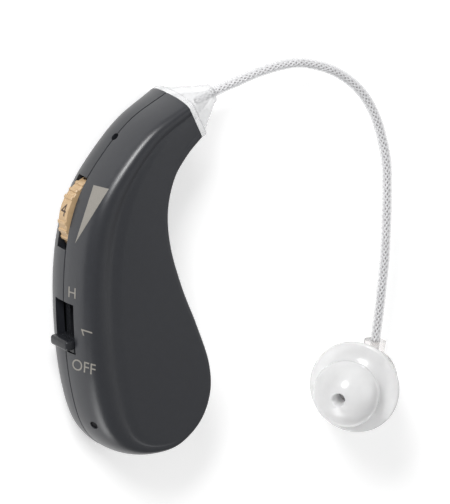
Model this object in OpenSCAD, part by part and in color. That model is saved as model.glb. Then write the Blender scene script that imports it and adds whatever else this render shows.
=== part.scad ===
// Behind the ear hearing aid: a moulded two-part case with a volume wheel and a slide switch on its
// spine, a clear nozzle, a thin preformed sound tube and a soft ear tip.
// It lies on its far side. X points to the concave side, Y to the nozzle, Z up from the table.
// The origin lies on the far side panel, and the seam is half a case thickness above it.

/* [Case] */
// Length of the case from its tail to the corner of the nozzle end
body_l = 49.8; // [48:0.2:56]
// Greatest width of the case outline
body_w = 20.7; // [20:0.1:23]
// Thickness of the case over both side panels
body_t = 10.4; // [10.2:0.1:12]
// Wall thickness of the case halves
wall = 1.15; // [1:0.05:1.3]
// How square the spine's shoulder is, from an ellipse at 2 upwards
shoulder_power = 2.4; // [2:0.1:3.5]
// Depth of the soft valley between the shoulder crest and the side panel
valley_depth = 0.3; // [0.1:0.05:0.5]
// Width of the flat crest that the case rests on
crest_w = 0.45; // [0.3:0.05:0.6]
// Height of the locating lip that joins the halves
lip_h = 0.55; // [0.3:0.05:0.7]
// Width of the chamfer that draws the seam line
seam_chamfer = 0.12; // [0.05:0.01:0.2]
// Thickness of the side panels' inner skin
panel_t = 1.1; // [0.9:0.05:1.3]

/* [Volume wheel] */
// Radius of the wheel over its ribs
wheel_r = 5.9; // [5.6:0.1:6]
// Thickness of the wheel
wheel_t = 1.9; // [1.6:0.1:2]
// How far the ribs stand above the lands
rib_h = 0.2; // [0.1:0.05:0.3]
// Width of one rib
rib_w = 0.5; // [0.3:0.05:0.7]
// Number of lands round the wheel, one for each number
lands = 6; // [5:1:8]
// Ribs between one land and the next
ribs = 3; // [2:1:4]
// Pitch of the ribs as an angle
rib_pitch = 12; // [10:0.5:13]
// Radius of the wheel's axle
axle_r = 0.8; // [0.6:0.05:1]
// Radius of the fixed base under the wheel
pot_r = 2.7; // [2.5:0.1:3]
// Thickness of the fixed base
pot_t = 0.9; // [0.7:0.05:1]

/* [Switch] */
// Width of the switch slot across the seam
slot_w = 4.5; // [4:0.1:5]
// Length of the knob along the spine
knob_l = 1.9; // [1.6:0.1:2.2]
// How far the knob stands out of the spine
knob_out = 1.1; // [0.8:0.1:1.5]
// Travel from OFF to H
switch_travel = 4.8; // [4:0.1:5]

/* [Sound tube and nozzle] */
// Outer radius of the clear sound tube
tube_r = 0.7; // [0.5:0.05:0.8]
// Radius of the sound bore in the nozzle and the adapter
sound_r = 0.45; // [0.3:0.05:0.5]
// Radius of the nozzle at its tip
nozzle_tip_r = 1.4; // [1.2:0.05:1.6]
// Thickness of the nozzle's flange
nozzle_flange_t = 0.9; // [0.7:0.05:1.1]
// Radius of the nozzle's spigot
spigot_r = 1.8; // [1.5:0.05:2]

/* [Ear tip] */
// Radius of the tip's rear flange
flange_r = 6.35; // [5.5:0.05:6.8]
// Radius of the tip's front dome
dome_r = 4.6; // [4:0.05:5]
// Length of the tip in front of its flange
dome_l = 7.6; // [7:0.1:8.5]
// Radius of the sound hole in the dome
hole_r = 0.85; // [0.6:0.05:1.1]
// Lean of the tip's axis from upright, in degrees
tip_lean = 49.5; // [45:0.5:55]
// Heading of the tip's axis seen from above, in degrees
tip_heading = 173.6; // [165:0.2:180]
// Radius of the round adapter behind the tip
adapter_r = 4.3; // [3.6:0.1:4.4]
// Thickness of the round adapter
adapter_t = 2.6; // [2.2:0.1:3]

/* [Inside] */
// Diameter of the rechargeable button cell
cell_d = 12; // [11:0.1:12.2]
// Thickness of the cell
cell_t = 5.4; // [4.8:0.1:5.6]
// Radius of the charging socket's bore
jack_bore_r = 1.25; // [1.1:0.05:1.3]
// Depth of the charging socket's bore
jack_bore_l = 4.6; // [4:0.1:5]
// Thickness of the circuit board
board_t = 0.6; // [0.5:0.05:0.8]
// Radius of the microphone capsule
mic_r = 1.6; // [1.4:0.05:1.8]
// Radius of a case screw's shank
screw_r = 0.7; // [0.6:0.05:0.8]

/* [Hidden] */
$fn = 48;

half_t = body_t / 2;
// Clearance of moving pieces, of fixed pieces that seat in one another, and of bores on pins
run_gap = 0.15;
fit_gap = 0.1;
bore_gap = 0.04;
// How far a cut runs past the face that it opens
over = 0.5;
// The switch's slot holds the knob and its whole travel, with most of the play at its H end
slot_l = knob_l + switch_travel + 3 * run_gap;

// Control points of the case outline on the seam, from the spine's corner at the nozzle, round the
// tail and back up the concave side: X share of body_w, Y share of body_l, and as shares of body_t
// the shoulder depth, the width of the valley's ramp and the far half's extra shoulder depth
outline_shares = [
    [0.205, 0.549, 0.135, 0.13, 0.100], [-0.075, 0.492, 0.175, 0.15, 0.210],
    [-0.297, 0.406, 0.205, 0.20, 0.200], [-0.461, 0.313, 0.240, 0.26, 0.150],
    [-0.553, 0.205, 0.260, 0.28, 0.065], [-0.588, 0.080, 0.270, 0.28, 0.010],
    [-0.585, -0.060, 0.280, 0.28, 0], [-0.552, -0.201, 0.295, 0.28, 0],
    [-0.480, -0.325, 0.295, 0.26, 0.030], [-0.380, -0.394, 0.260, 0.24, 0.060],
    [-0.236, -0.436, 0.190, 0.20, 0.080], [-0.052, -0.451, 0.125, 0.12, 0.060],
    [0.155, -0.438, 0.090, 0.05, 0.020], [0.330, -0.380, 0.080, 0.04, 0],
    [0.411, -0.297, 0.070, 0.04, 0], [0.401, -0.205, 0.070, 0.04, 0], [0.306, -0.090, 0.070, 0.04, 0],
    [0.195, 0.024, 0.070, 0.04, 0], [0.108, 0.145, 0.070, 0.04, 0], [0.087, 0.247, 0.070, 0.04, 0],
    [0.137, 0.333, 0.075, 0.04, 0], [0.237, 0.390, 0.085, 0.05, 0.010],
    [0.340, 0.427, 0.100, 0.06, 0.020]];
outline_steps = 3;
// The ramp width at which the valley has its whole depth, and the least one, where it has none
full_ramp_share = 0.28;
no_ramp_share = 0.04;
// Where the valley's floor lies across its ramp
valley_floor_share = 0.36;
// Rows of points over the shoulder
shoulder_rows = 7;

// One point of a smooth curve through four control points, between the second and the third
function blend(a, b, c, d, t) =
    0.5 * ((2 * b) + (c - a) * t + (2 * a - 5 * b + 4 * c - d) * t * t
           + (3 * b - a - 3 * c + d) * t * t * t);
function scaled(p) = [p[0] * body_w, p[1] * body_l, p[2] * body_t, p[3] * body_t, p[4] * body_t];
corners = [for (p = outline_shares) scaled(p)];
last = len(corners) - 1;
function corner(i) = i < 0 ? 2 * corners[0] - corners[1]
                   : i > last ? 2 * corners[last] - corners[last - 1] : corners[i];
path = [for (i = [0:last - 1]) for (k = [0:outline_steps - 1])
            blend(corner(i - 1), corner(i), corner(i + 1), corner(i + 2), k / outline_steps),
        corners[last]];
count = len(path);
function xy(p) = [p[0], p[1]];
function unit(v) = v / norm(v);
function left_of(v) = [-v[1], v[0]];

// The flat nozzle end: its direction from the spine to the concave corner, and its outward normal
end_dir = unit(xy(path[count - 1]) - xy(path[0]));
end_w = norm(xy(path[count - 1]) - xy(path[0]));
end_out = left_of(end_dir);
end_mid = (xy(path[count - 1]) + xy(path[0])) / 2;

function run(i) = unit(xy(path[min(i + 1, count - 1)]) - xy(path[max(i - 1, 0)]));
// The direction in which a point moves when the outline is drawn in, which keeps the end face flat
function inward(i) =
    i == 0 ? end_dir / (end_dir * left_of(run(0)))
    : i == count - 1 ? -end_dir / (-end_dir * left_of(run(i)))
    : left_of(run(i));
function back(i, depth) = i == 0 || i == count - 1 ? -end_out * depth : [0, 0];
// A row of points at one height, each drawn in by its own amount
function row(insets, heights, end_depth = 0) =
    [for (i = [0:count - 1])
        let (p = xy(path[i]) + inward(i) * insets[i] + back(i, end_depth)) [p[0], p[1], heights[i]]];
function all(v) = [for (i = [0:count - 1]) v];
// The half is 0 for the near one and 1 for the far one
function shoulder(i, half) = path[i][2] + half * path[i][4];
// The far half's ramp is narrower by what its shoulder takes
function ramp(i, half) = max(no_ramp_share * body_t, path[i][3] - half * path[i][4]);
function fade(i, half) = max(0, min(1, (ramp(i, half) / body_t - no_ramp_share)
                                       / (full_ramp_share - no_ramp_share)));
// The shoulder's section is a quarter of a superellipse
function rise(a) = pow(sin(a), 2 / shoulder_power);
function draw(a) = 1 - pow(cos(a), 2 / shoulder_power);
function shoulder_row(a, half, base, height, depth) =
    row([for (i = [0:count - 1]) base + shoulder(i, half) * draw(a)], all(height * rise(a)), depth);

// Joins rows of points into one closed solid. Each cap is a strip between the points that face one
// another across the row, so it follows the outline's bend
function strip(n, k) = [for (i = [0:ceil(n / 2) - 2]) each concat(
    [[k + i, k + i + 1, k + n - 1 - i]],
    i + 1 < n - 2 - i ? [[k + i + 1, k + n - 2 - i, k + n - 1 - i]] : [])];
module rows_solid(rows) {
    n = len(rows[0]);
    m = len(rows);
    polyhedron(
        points = [for (r = rows) for (p = r) p],
        faces = concat(
            [for (f = strip(n, 0)) [f[2], f[1], f[0]]],
            [for (j = [0:m - 2]) for (i = [0:n - 1])
                [j * n + i, j * n + (i + 1) % n, (j + 1) * n + (i + 1) % n]],
            [for (j = [0:m - 2]) for (i = [0:n - 1])
                [j * n + i, (j + 1) * n + (i + 1) % n, (j + 1) * n + i]],
            strip(n, (m - 1) * n)));
}

inner_h = half_t - panel_t;
inner_rows_n = 4;
lip_in = wall / 2;
lip_gap = 0.05;
chamfer_step = seam_chamfer / 4;
// Each profile starts inside the panel's edge, falls into the valley, climbs to the crest and goes
// over the shoulder to the seam
function panel_edge(i, half) = shoulder(i, half) + crest_w + ramp(i, half);
function valley_edge(i, half) =
    shoulder(i, half) + crest_w + ramp(i, half) * valley_floor_share * fade(i, half);
function crest_edge(i, half) = shoulder(i, half) + crest_w * (1 - no_ramp_share);
function outer_rows(half) = concat(
    [row([for (i = [0:count - 1]) panel_edge(i, half)], all(half_t)),
     row([for (i = [0:count - 1]) valley_edge(i, half)],
         [for (i = [0:count - 1]) half_t - valley_depth * fade(i, half)]),
     row([for (i = [0:count - 1]) crest_edge(i, half)], all(half_t))],
    [for (k = [shoulder_rows:-1:1]) shoulder_row(90 * k / shoulder_rows, half, 0, half_t, 0)],
    [row(all(chamfer_step), all(seam_chamfer)), row(all(seam_chamfer), all(0))]);
function inner_rows(half) =
    [for (k = [1:inner_rows_n]) shoulder_row(90 * k / inner_rows_n, half, wall, inner_h, wall)];

// Half of the case, standing on the seam plane. The lip stands out below 0, and its step goes in
module case_half(half, lip, gap) {
    rows_solid(concat(
        outer_rows(half),
        [row(all(lip_in + gap), all(0), lip_in + gap), row(all(lip_in + gap), all(lip), lip_in + gap),
         row(all(wall), all(lip), wall)],
        inner_rows(half)));
}

module near_half() translate([0, 0, half_t]) children();
module far_half() translate([0, 0, half_t]) mirror([0, 0, 1]) children();

// Where the outline crosses a height on the spine, and the direction of the spine there
function between(a, b, y) = a[0] + (b[0] - a[0]) * (y - a[1]) / (b[1] - a[1]);
function spine_x(y, i = 0) =
    path[i + 1][1] <= y ? between(path[i], path[i + 1], y) : spine_x(y, i + 1);
function spine_dir(y) = unit([spine_x(y + wall) - spine_x(y - wall), 2 * wall]);
function at_share(s) = [s[0] * body_w, s[1] * body_l];

// A box with rounded upright edges, centred on its base
module rounded_box(size, r) {
    linear_extrude(size[2]) {
        square([size[0] - 2 * r, size[1]], center = true);
        square([size[0], size[1] - 2 * r], center = true);
        for (x = [-1, 1], y = [-1, 1])
            translate([x * (size[0] / 2 - r), y * (size[1] / 2 - r)]) circle(r);
    }
}

// Rings of points round a route, each square to it, with a side direction square to ref
function heading(route, i) =
    unit(route[min(i + 1, len(route) - 1)] - route[max(i - 1, 0)]);
function ring(p, t, r, sides, ref) =
    let (a = unit(cross(ref, t)), b = cross(a, t))
    [for (k = [0:sides - 1]) p + r * (a * cos(360 * k / sides) + b * sin(360 * k / sides))];
module tube(route, r, sides, ref = [0, 0, 1]) {
    rows_solid([for (i = [0:len(route) - 1]) ring(route[i], heading(route, i), r, sides, ref)]);
}
function curve(c, steps) =
    let (n = len(c) - 1,
         q = concat([2 * c[0] - c[1]], c, [2 * c[n] - c[n - 1]]))
    concat([for (i = [0:n - 1]) for (k = [0:steps - 1])
                blend(q[i], q[i + 1], q[i + 2], q[i + 3], k / steps)], [c[n]]);

// Volume wheel: its place, its heights and its slot in the far half
wheel_y_share = 0.229;
wheel_out = 0.63;
wheel_y = wheel_y_share * body_l;
wheel_x = spine_x(wheel_y) + wheel_r - wheel_out;
wheel_drop = 0.3;
wheel_z = half_t - wheel_drop - wheel_t;
wheel_slot_l = 10.2;
wheel_slot_heading = 161.5;
wheel_slot_shift = 0.2;
wheel_slot_gap = 0.15;
land_heading = 162.5;
pot_z = wheel_z - fit_gap - pot_t;
screw_head_t = 0.5;
pot_screw_head_r = 1.6;
pot_screw_r = 0.4;

module at_wheel(z) translate([wheel_x, wheel_y, z]) children();
module wheel_slot() {
    at_wheel(wheel_z - wheel_slot_gap) rotate(wheel_slot_heading)
        translate([wheel_r - wall - wheel_out - 2 * wall, wheel_slot_shift - wheel_slot_l / 2, 0])
            cube([4 * wall + wheel_out, wheel_slot_l, wheel_t + wheel_slot_gap + wheel_drop]);
}

// Switch: a frame on the spine, X inward and Y along the spine towards the nozzle
slot_y_share = -0.059;
slot_y = slot_y_share * body_l;
slot_dir = spine_dir(slot_y);
housing_in = wall + 0.55;
housing_d = 3.2;
housing_l = slot_l + 1.2;
groove_w = 2;
groove_d = 1;
knob_edge = 0.45;
knob_neck = 0.35;
rib_step = 0.12;
knob_y = -slot_l / 2 + knob_l / 2 + run_gap;
module at_switch() {
    translate([spine_x(slot_y), slot_y, half_t])
        rotate(atan2(slot_dir[1], slot_dir[0]) - 90) children();
}

// Sound tube: its free stretch from the nozzle's mouth to the adapter's socket
route = [[11.6, 26.0, 5.2], [13.5, 26.5, 5.2], [15.5, 26.9, 5.2], [18.0, 27.4, 5.1], [20.0, 27.7, 5.1],
         [22.0, 27.9, 5.1], [24.0, 27.9, 5.0], [26.0, 27.7, 5.0], [28.0, 27.1, 5.0], [30.0, 26.3, 5.0],
         [32.0, 25.2, 4.9], [34.0, 23.7, 4.9], [35.5, 22.2, 4.9], [36.8, 20.5, 4.8], [37.8, 18.7, 4.8],
         [38.6, 16.8, 4.8], [39.3, 14.6, 4.7], [39.8, 12.4, 4.7], [40.1, 10.0, 4.7], [40.2, 7.5, 4.6],
         [40.2, 5.0, 4.6], [40.2, 2.5, 4.5], [40.1, 0.0, 4.5], [40.0, -2.5, 4.5], [39.8, -5.0, 4.4],
         [39.5, -7.5, 4.4], [39.2, -10.0, 4.4], [38.9, -12.5, 4.3], [38.6, -14.5, 4.3]];
tube_start = route[0];
tube_end = route[len(route) - 1];
start_dir = unit(route[1] - route[0]);
finish_dir = unit(tube_end - route[len(route) - 2]);

// Nozzle: a flange on the flat end of the case, a cone to the tube and a spigot through the end wall
end_c = [end_mid[0], end_mid[1], half_t];
end_n = [end_out[0], end_out[1], 0];
spigot_l = 2.4;
spigot_gap = 0.05;
// The spigot's bore starts its circle off the seam plane
spigot_turn = 45;
cone_w_share = 0.92;
cone_h_share = 0.86;
tip_lip = 0.5;
tip_lip_edge = 0.3;
flange_bevel = 0.3;
module along(v) rotate([0, acos(v[2]), atan2(v[1], v[0])]) children();
module end_frame() translate(end_c) along(end_n) rotate([0, 0, 90]) children();
// Half of the end face's outline: how far it is drawn in at each height over the seam
function end_half(i, half) = [for (k = [0:shoulder_rows])
    [shoulder(i, half) * draw(90 * k / shoulder_rows) * norm(inward(i)),
     half_t * rise(90 * k / shoulder_rows)]];
function flipped(v) = [for (k = [len(v) - 1:-1:0]) v[k]];
end_outline = concat(
    [for (p = end_half(0, 0)) [-end_w / 2 + p[0], p[1]]],
    [for (p = flipped(end_half(count - 1, 0))) [end_w / 2 - p[0], p[1]]],
    [for (p = end_half(count - 1, 1)) if (p[1] > 0) [end_w / 2 - p[0], -p[1]]],
    [for (p = flipped(end_half(0, 1))) if (p[1] > 0) [-end_w / 2 + p[0], -p[1]]]);

// Adapter and ear tip, on one axis that leans up and back towards the case
socket_l = 5;
socket_c = tube_end + finish_dir * socket_l;
tip_shift = [-0.55, -0.1, 0];
tip_c = socket_c + tip_shift;
socket_r = 1.5;
adapter_front_share = 0.45;
adapter_front = adapter_t * adapter_front_share;
adapter_back = adapter_t - adapter_front;
adapter_edge = 0.5;
nub_r = 1.2;
nub_bore_r = 0.75;
barb_r = 1.42;
barb_l = 0.55;
barb_pitch = 0.8;
barbs = 6;
nub_l = 9.6;
flange_s = 6.5;
flange_t = 0.75;
tip_bore_r = barb_r + run_gap / 2;
sleeve_r = 2.9;
sleeve_edge = 0.25;
neck_r = 2.9;
neck_top = 2.5;
front_flare = 1.9;
back_flare = 1.3;
dome_wide = 3.6;
dome_edge = 0.4;
hole_edge = 0.2;
chamber_l = 4.6;
module at_tip() translate(tip_c) rotate([0, tip_lean, tip_heading]) children();

// Inside: the board lies under the wheel's base, over the far side's inner face
board_z = pot_z - board_t;
board_edge = 0.35;
// How much of the shoulder's depth the far half's wall has come in at the board
board_draw_share = 0.6;
board_low_share = -0.1;
board_high_share = 0.36;
cell_share = [-0.058, -0.209];
cell_c = at_share(cell_share);
cell_z = half_t - cell_t / 2;
cell_edge = 0.4;
tab_t = 0.15;
tab_w = 2.4;
tab_offset_share = 0.16;
foot_t = 0.3;
pad_r = 4.4;
tail_y = min([for (p = path) p[1]]);
jack_x_share = -0.03;
jack_x = jack_x_share * body_w;
jack_recess = 0.2;
jack_mouth = tail_y + jack_recess;
jack_nose_w = 3.5;
jack_w = 4.2;
jack_back = 0.7;
jack_shoulder = wall + 0.55;
pin_w = 0.5;
pin_t = 0.2;
mic_y_share = 0.452;
mic_y = mic_y_share * body_l;
mic_dir = spine_dir(mic_y);
mic_hole_r = 0.5;
mic_t = 1.3;
boot_t = 0.3;
boot_in = wall + 0.45;
receiver_share = [0.036, 0.388];
receiver_c = at_share(receiver_share);
receiver_heading = 51.5;
receiver_l = 4.8;
receiver_w = 2.6;
receiver_h = 3.6;
spout_r = 0.6;
spout_l = 0.8;
screw_shares = [[0.251, -0.311], [-0.010, 0.040]];
screw_l = 5.2;
screw_head_r = 1.2;
screw_head_h = 0.6;
head_recess = 0.85;
// How far a driver's slot reaches across a screw's head
drive_share = 0.6;
pot_drive_share = 0.7;
boss_r = 1.5;
pilot_gap = 0.02;
lens_share = [-0.449, -0.336];
lens_up = 3;
lens_r = 0.5;
lens_l = 1.9;
lens_heading = 208;
lens_lean = 70;
lens_recess = 0.15;
led_l = 0.6;
led_w = 1.2;
wire_r = 0.17;
chip_w = 3;
chip_t = 0.9;
lead_w = 0.25;
lead_l = 0.5;

module at_screws(z) for (s = screw_shares) translate([at_share(s)[0], at_share(s)[1], z]) children();
module at_mic() {
    translate([spine_x(mic_y), mic_y, half_t]) along([mic_dir[1], -mic_dir[0], 0]) children();
}
module at_lens() {
    p = at_share(lens_share);
    translate([p[0], p[1], half_t + lens_up]) rotate([0, lens_lean, lens_heading]) children();
}
// Cuts that both halves share
module shared_cuts() {
    at_switch() translate([-knob_out, -slot_l / 2, -slot_w / 2])
        cube([knob_out + wall + 2 * over, slot_l, slot_w]);
    at_mic() translate([0, 0, -over]) cylinder(r = mic_hole_r, h = wall + 2 * over);
    translate([jack_x - jack_nose_w / 2 - fit_gap, tail_y - over, half_t - jack_nose_w / 2 - fit_gap])
        cube([jack_nose_w + 2 * fit_gap, wall + 3 * over, jack_nose_w + 2 * fit_gap]);
    translate(end_c - end_n * (wall + over)) along(end_n) rotate(spigot_turn)
        cylinder(r = spigot_r + spigot_gap, h = wall + 2 * over);
}

module near_shell() color("#3a3c40") difference() {
    union() {
        near_half() case_half(0, -lip_h, lip_gap);
        at_screws(half_t) cylinder(r = boss_r, h = inner_h + panel_t / 2);
    }
    shared_cuts();
    at_screws(half_t - over)
        cylinder(r = screw_r + pilot_gap, h = screw_l - half_t + head_recess + over + fit_gap);
    at_wheel(half_t - lip_h - over) cylinder(r = wheel_r + 2 * run_gap, h = lip_h + over);
    at_lens() translate([0, 0, -wall - over]) cylinder(r = lens_r + fit_gap / 2, h = wall + 2 * over);
}
module far_shell() color("#3a3c40") difference() {
    union() {
        far_half() case_half(1, lip_h + lip_gap, 0);
        at_screws(panel_t / 2) cylinder(r = boss_r, h = half_t - panel_t / 2);
    }
    shared_cuts();
    at_screws(-over) cylinder(r = screw_r + fit_gap, h = half_t + 2 * over);
    at_screws(-over) cylinder(r = screw_head_r + fit_gap, h = head_recess + over);
    at_wheel(wheel_z - wheel_slot_gap)
        cylinder(r = wheel_r + 2 * run_gap, h = wheel_t + wheel_slot_gap + wheel_drop);
    wheel_slot();
}
module case_screws() color("silver") at_screws(head_recess) difference() {
    union() {
        translate([0, 0, -screw_head_h]) cylinder(r = screw_head_r, h = screw_head_h);
        cylinder(r = screw_r, h = screw_l);
    }
    translate([0, 0, -screw_head_h - over]) for (a = [0, 90])
        rotate(a) translate([-screw_head_r * drive_share, -screw_r / 4, 0])
            cube([2 * screw_head_r * drive_share, screw_r / 2, over + screw_head_h / 2]);
}

module nozzle() color("gainsboro") difference() {
    union() {
        end_frame() linear_extrude(nozzle_flange_t - flange_bevel) polygon(end_outline);
        end_frame() translate([0, 0, nozzle_flange_t - flange_bevel])
            linear_extrude(flange_bevel, scale = 1 - 2 * flange_bevel / end_w) polygon(end_outline);
        hull() {
            end_frame() translate([0, 0, nozzle_flange_t - flange_bevel]) linear_extrude(flange_bevel)
                resize([end_w * cone_w_share, body_t * cone_h_share]) circle(nozzle_tip_r, $fn = 32);
            translate(tube_start - start_dir * tip_lip) along(start_dir)
                cylinder(r1 = nozzle_tip_r, r2 = nozzle_tip_r - tip_lip_edge, h = tip_lip, $fn = 32);
        }
        translate(end_c - end_n * spigot_l) along(end_n)
            cylinder(r = spigot_r, h = spigot_l + nozzle_flange_t / 2);
    }
    translate(end_c - end_n * (spigot_l + over)) along(end_n)
        cylinder(r = sound_r, h = spigot_l + over + nozzle_flange_t);
    translate(end_c) along(unit(tube_start - end_c))
        cylinder(r = sound_r, h = norm(tube_start - end_c) + over);
}

module sound_tube() color("whitesmoke") tube(route, tube_r, 8);

function barb_at(k) = nub_l - (barbs - k) * barb_pitch;
module tip_adapter() color("lightgray") difference() {
    union() {
        at_tip() rotate_extrude() polygon(concat(
            [[0, -adapter_back]],
            [for (a = [80:-16:0]) [adapter_r * cos(a), -adapter_back * sin(a)]],
            [[adapter_r, adapter_front - adapter_edge], [adapter_r - adapter_edge, adapter_front],
             [nub_r, adapter_front]],
            [for (k = [0:barbs - 1]) each
                [[nub_r, barb_at(k)], [barb_r, barb_at(k) + barb_pitch - barb_l],
                 [nub_r, barb_at(k) + barb_pitch - barb_l / 4]]],
            [[nub_r, nub_l], [0, nub_l]]));
        translate(tube_end) along(finish_dir) cylinder(r = socket_r, h = socket_l);
    }
    at_tip() cylinder(r = nub_bore_r, h = nub_l + over);
    translate(tube_end - finish_dir * over) along(finish_dir)
        cylinder(r = sound_r, h = socket_l + over);
}

sleeve_l = flange_s - adapter_front - run_gap;
dome_h = (dome_l - dome_wide) / sin(acos((hole_r + hole_edge) / dome_r));
module ear_tip() color("whitesmoke") at_tip() translate([0, 0, flange_s]) rotate_extrude() polygon(concat(
    [[tip_bore_r, -sleeve_l], [sleeve_r - sleeve_edge, -sleeve_l], [sleeve_r, -sleeve_l + sleeve_edge]],
    [for (a = [0:15:90]) [flange_r - flange_t - (flange_r - flange_t - sleeve_r) * cos(a),
                          -flange_t - back_flare * (1 - sin(a))]],
    [for (a = [-90:30:90]) [flange_r - flange_t / 2 + flange_t / 2 * cos(a), flange_t / 2 * (sin(a) - 1)]],
    [for (a = [90:-15:0]) [flange_r - flange_t - (flange_r - flange_t - neck_r) * cos(a),
                           front_flare * (1 - sin(a))]],
    [[neck_r, neck_top], [dome_r - dome_edge, neck_top + dome_edge / 2],
     [dome_r, neck_top + dome_edge * 1.5]],
    [for (k = [0:8]) let (a = acos((hole_r + hole_edge) / dome_r) * k / 8)
        [dome_r * cos(a), dome_wide + dome_h * sin(a)]],
    [[hole_r, dome_l - hole_edge], [hole_r, chamber_l + hole_edge], [tip_bore_r, chamber_l]]));

module volume_wheel() color("burlywood") at_wheel(wheel_z) difference() {
    union() {
        cylinder(r = wheel_r - rib_h, h = wheel_t);
        for (n = [0:lands - 1]) for (k = [0:ribs - 1])
            rotate(land_heading + (n + 0.5) * 360 / lands + (k - (ribs - 1) / 2) * rib_pitch)
                translate([wheel_r - 2 * rib_h, -rib_w / 2, 0]) cube([2 * rib_h, rib_w, wheel_t]);
    }
    translate([0, 0, -over]) cylinder(r = axle_r + bore_gap, h = wheel_t + 2 * over);
    translate([0, 0, wheel_t - screw_head_t])
        cylinder(r = pot_screw_head_r + fit_gap, h = screw_head_t + over);
}
axle_l = fit_gap + wheel_t - screw_head_t + fit_gap / 2;
module pot_base() color("saddlebrown") at_wheel(pot_z) difference() {
    union() {
        cylinder(r = pot_r, h = pot_t);
        cylinder(r = axle_r, h = pot_t + axle_l);
    }
    translate([0, 0, pot_t]) cylinder(r = pot_screw_r + pilot_gap, h = axle_l + over);
}
module pot_screw() color("silver") at_wheel(pot_z + pot_t + axle_l) difference() {
    union() {
        cylinder(r = pot_screw_head_r, h = screw_head_t - fit_gap);
        translate([0, 0, -axle_l + fit_gap]) cylinder(r = pot_screw_r, h = axle_l - fit_gap);
    }
    translate([-pot_screw_head_r * pot_drive_share, -pot_screw_r / 2, screw_head_t / 2])
        cube([2 * pot_screw_head_r * pot_drive_share, pot_screw_r, screw_head_t]);
}
module pot_terminals() color("gold") at_wheel(pot_z) for (k = [-1:1])
    translate([pot_r + fit_gap / 2, k * 3 * pin_w - pin_w / 2, 0]) cube([lead_l, pin_w, pin_t]);

module switch_housing() color("#1d1e20") at_switch() difference() {
    translate([housing_in, -housing_l / 2, -slot_w / 2 + fit_gap])
        cube([housing_d, housing_l, slot_w - 2 * fit_gap]);
    translate([housing_in - over, -slot_l / 2 - groove_d / 4, -groove_w / 2])
        cube([groove_d + over, slot_l + groove_d / 2, groove_w]);
}
module switch_knob() color("#2b2c2f") at_switch() translate([0, knob_y, 0]) {
    hull() {
        for (y = [-1, 1])
            translate([knob_edge - knob_out, y * (knob_l / 2 - knob_edge), -slot_w / 2 + run_gap])
                cylinder(r = knob_edge, h = slot_w - 2 * run_gap, $fn = 24);
        translate([0, -knob_l / 2, -slot_w / 2 + run_gap]) cube([knob_neck, knob_l, slot_w - 2 * run_gap]);
    }
    translate([0, -knob_l / 2 + rib_step, -slot_w / 2 + run_gap + rib_step])
        cube([housing_in - fit_gap, knob_l - 2 * rib_step, slot_w - 2 * run_gap - 2 * rib_step]);
    translate([housing_in - fit_gap - knob_neck, -knob_l / 4, -groove_w / 2 + fit_gap])
        cube([groove_d + knob_neck, knob_l / 2, groove_w - 2 * fit_gap]);
}
module switch_terminals() color("gold") at_switch() for (k = [-1.5:1:1.5])
    translate([housing_in + housing_d, k * slot_l / 4, -slot_w / 4]) cube([lead_l, pin_w, pin_t]);

module circuit_board() color("darkgreen") translate([0, 0, board_z]) difference() {
    linear_extrude(board_t) intersection() {
        polygon([for (p = row([for (i = [0:count - 1])
            wall + shoulder(i, 1) * board_draw_share + board_edge], all(0), wall)) xy(p)]);
        translate([-body_w, board_low_share * body_l])
            square([2 * body_w, (board_high_share - board_low_share) * body_l]);
    }
    translate([0, 0, -board_z]) at_screws(0) cylinder(r = boss_r + fit_gap, h = body_t);
}
board_top = board_z + board_t;
module on_board(share) translate([at_share(share)[0], at_share(share)[1], board_top]) children();
chip_share = [-0.19, 0.020];
module amplifier_chip() color("#222426") on_board(chip_share) {
    translate([0, 0, pin_t / 2]) rounded_box([chip_w, chip_w, chip_t], pin_t);
    for (x = [-1, 1]) for (k = [-1.5:1:1.5])
        translate([x * (chip_w + lead_l) / 2 - lead_l / 2, k * chip_w / 4 - lead_w / 2, 0])
            cube([lead_l, lead_w, pin_t]);
}
capacitor_shares = [[-0.27, -0.062], [-0.10, -0.062], [0.04, -0.062]];
capacitor_size = [1.6, 0.8, 0.8];
module capacitors() color("tan") for (s = capacitor_shares) on_board(s)
    rounded_box(capacitor_size, lead_w / 2);
resistor_shares = [[-0.06, 0.094], [0.03, 0.094], [-0.035, -0.035], [0.10, -0.020]];
resistor_size = [0.6, 1.2, 0.4];
module resistors() color("#26282b") for (s = resistor_shares) on_board(s)
    translate([-resistor_size[0] / 2, -resistor_size[1] / 2, 0]) cube(resistor_size);

module microphone() color("silver") at_mic() translate([0, 0, boot_in + boot_t + fit_gap]) {
    cylinder(r = mic_r, h = mic_t);
}
module microphone_boot() color("#222426") at_mic() translate([0, 0, boot_in]) difference() {
    cylinder(r = mic_r + boot_t, h = mic_t + boot_t);
    translate([0, 0, boot_t]) cylinder(r = mic_r + fit_gap / 2, h = mic_t + over);
    translate([0, 0, -over]) cylinder(r = mic_hole_r, h = boot_t + 2 * over);
}
module at_receiver() translate([receiver_c[0], receiver_c[1], half_t])
    rotate([0, 90, receiver_heading]) children();
module receiver() color("silver") at_receiver() {
    translate([0, 0, -receiver_l / 2]) rounded_box([receiver_h, receiver_w, receiver_l], boot_t);
    translate([0, 0, receiver_l / 2]) cylinder(r = spout_r, h = spout_l);
}
module receiver_boot() color("#44464a") at_receiver() translate([0, 0, -receiver_l / 2 - boot_t])
    difference() {
        rounded_box([receiver_h + 2 * boot_t, receiver_w + 2 * boot_t, receiver_l], 2 * boot_t);
        translate([0, 0, boot_t - fit_gap / 2])
            rounded_box([receiver_h + fit_gap, receiver_w + fit_gap, receiver_l + over], boot_t);
    }
receiver_dir = [cos(receiver_heading), sin(receiver_heading), 0];
spout_end = [receiver_c[0], receiver_c[1], half_t] + receiver_dir * (receiver_l / 2 + spout_l);
spigot_end = end_c - end_n * spigot_l;
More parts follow.
